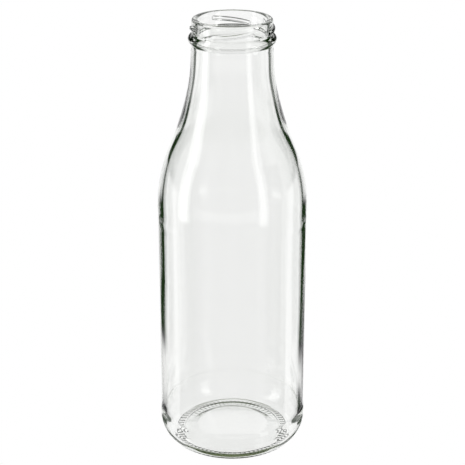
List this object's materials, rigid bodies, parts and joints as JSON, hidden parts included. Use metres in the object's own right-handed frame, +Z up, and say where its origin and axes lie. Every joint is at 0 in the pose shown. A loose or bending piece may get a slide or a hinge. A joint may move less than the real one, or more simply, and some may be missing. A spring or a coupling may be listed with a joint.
{
  "type": "glass bottle",
  "caption": "Clear one-litre wide-mouth glass bottle with a long sloping shoulder, a recessed label panel, a push-up base and a lug finish for a twist-off cap.",
  "frame": {"origin": "centre of the bearing ring, on the surface the bottle stands on", "axes": "+Z up along the bottle's axis; -Y is the front of the picture; one lug is centred 2 degrees right of the front"},
  "size_m": [0.0882, 0.0882, 0.2595],
  "materials": {
    "glass": "clear flint glass, polished, with a very faint green tint in thick places"
  },
  "bodies": {
    "root": {"bottle": "glass"}
  },
  "joints": []
}
